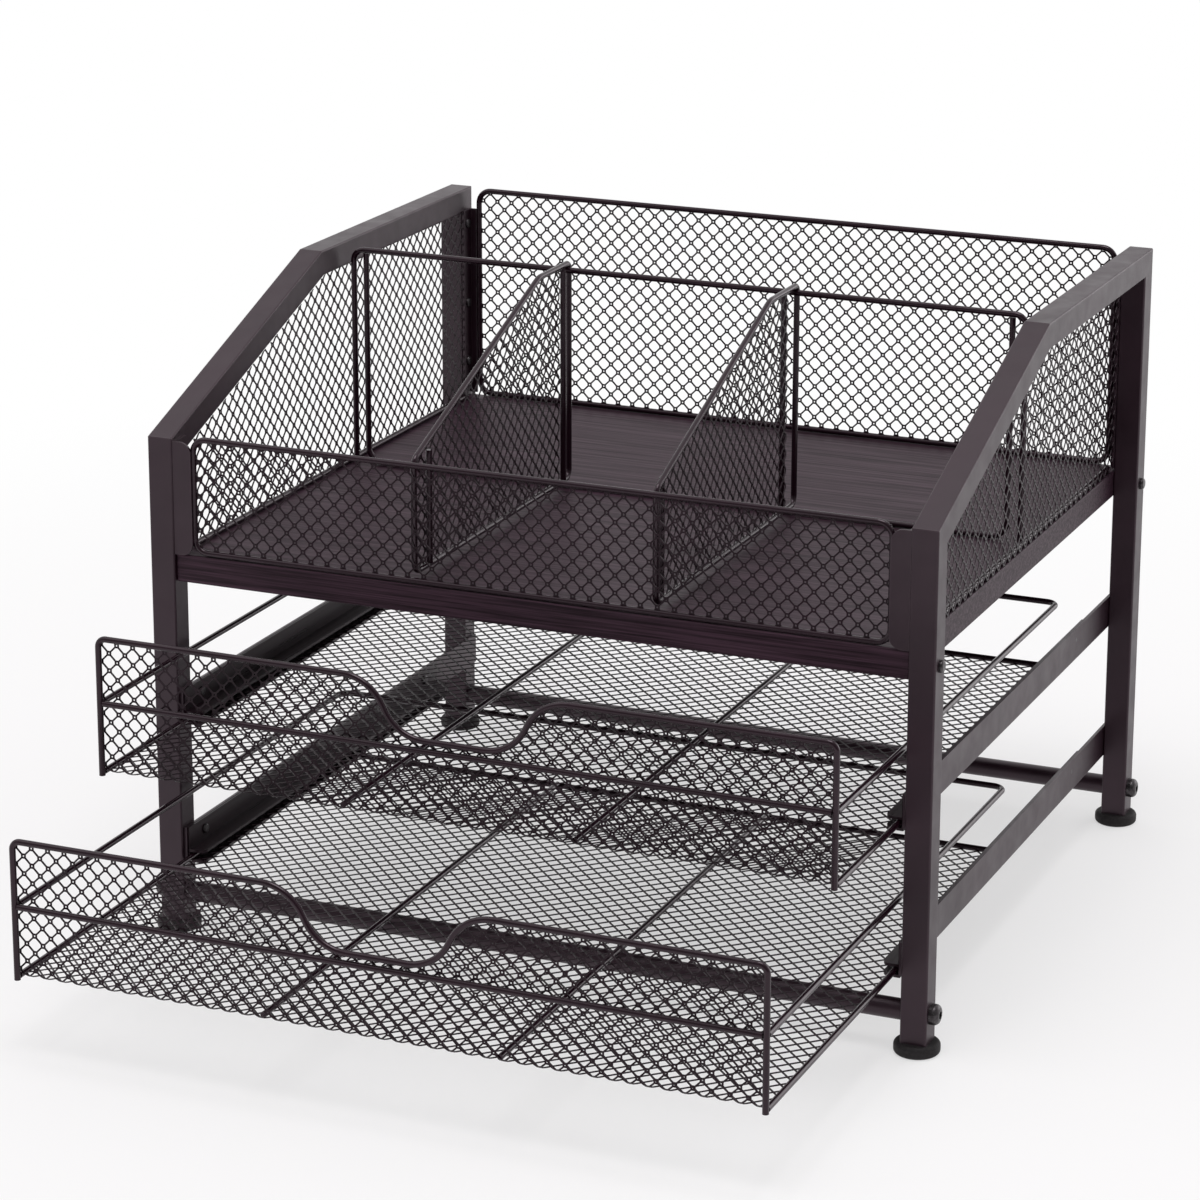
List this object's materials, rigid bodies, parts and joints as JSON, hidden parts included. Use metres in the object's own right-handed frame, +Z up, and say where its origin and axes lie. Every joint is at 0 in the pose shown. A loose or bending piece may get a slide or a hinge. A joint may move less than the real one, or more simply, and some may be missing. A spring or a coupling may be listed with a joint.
{
  "type": "coffee station organizer",
  "caption": "Countertop organizer of square tube and wire mesh, with open compartments over a wooden shelf and sliding mesh drawers below.",
  "frame": {"origin": "middle of the floor under the object as it stands, with both drawers pulled out", "axes": "+Z up, -Y towards the front where the drawers come out, +X to the right seen from the front"},
  "size_m": [0.409, 0.5076, 0.3141],
  "materials": {
    "powder_coated_steel": "satin near-black powder coat on square tube and strip",
    "coated_wire": "satin near-black powder coat on round wire",
    "steel_mesh": "satin near-black powder coat on expanded mesh",
    "runner_steel": "smooth black coated channel",
    "black_fasteners": "black oxide",
    "foot_rubber": "matte black",
    "black_wood": "black stained board with a fine grain along its length"
  },
  "bodies": {
    "frame": {"left_front_post": "powder_coated_steel", "left_slope_tube": "powder_coated_steel", "left_top_tube": "powder_coated_steel", "left_back_post": "powder_coated_steel", "right_front_post": "powder_coated_steel", "right_slope_tube": "powder_coated_steel", "right_top_tube": "powder_coated_steel", "right_back_post": "powder_coated_steel", "left_upper_rail": "powder_coated_steel", "right_upper_rail": "powder_coated_steel", "left_lower_rail": "powder_coated_steel", "right_lower_rail": "powder_coated_steel", "left_upper_runner": "runner_steel", "right_upper_runner": "runner_steel", "left_lower_runner": "runner_steel", "right_lower_runner": "runner_steel", "left_front_tab": "powder_coated_steel", "right_front_tab": "powder_coated_steel", "left_back_strip": "powder_coated_steel", "right_back_strip": "powder_coated_steel", "front_crossbar": "powder_coated_steel", "back_crossbar": "powder_coated_steel", "front_panel_wire": "coated_wire", "back_panel_wire": "coated_wire", "cross_frame_wire": "coated_wire", "cross_brace_wire": "coated_wire", "left_side_wire": "coated_wire", "left_divider_wire": "coated_wire", "left_divider_stays": "coated_wire", "right_side_wire": "coated_wire", "right_divider_wire": "coated_wire", "right_divider_stays": "coated_wire", "front_panel_mesh": "steel_mesh", "back_panel_mesh": "steel_mesh", "left_side_mesh": "steel_mesh", "left_divider_mesh": "steel_mesh", "right_side_mesh": "steel_mesh", "right_divider_mesh": "steel_mesh", "crossbar_bolts": "black_fasteners", "shelf_screws": "black_fasteners", "back_rivets": "black_fasteners", "runner_rivets": "black_fasteners", "feet": "foot_rubber", "shelf_board": "black_wood"},
    "upper_drawer": {"upper_drawer_front_wire": "coated_wire", "upper_drawer_cross_wire": "coated_wire", "upper_drawer_guard_wire": "coated_wire", "upper_drawer_base_wire": "coated_wire", "upper_drawer_floor_wires": "coated_wire", "upper_drawer_mesh": "steel_mesh"},
    "lower_drawer": {"lower_drawer_front_wire": "coated_wire", "lower_drawer_cross_wire": "coated_wire", "lower_drawer_guard_wire": "coated_wire", "lower_drawer_base_wire": "coated_wire", "lower_drawer_floor_wires": "coated_wire", "lower_drawer_mesh": "steel_mesh"}
  },
  "joints": [
    {"name": "upper_drawer_slide", "type": "slide", "parent": "frame", "child": "upper_drawer", "axis": [0, -1, 0], "range_m": [-0.0803, 0.1377]},
    {"name": "lower_drawer_slide", "type": "slide", "parent": "frame", "child": "lower_drawer", "axis": [0, -1, 0], "range_m": [-0.1612, 0.0568]}
  ]
}
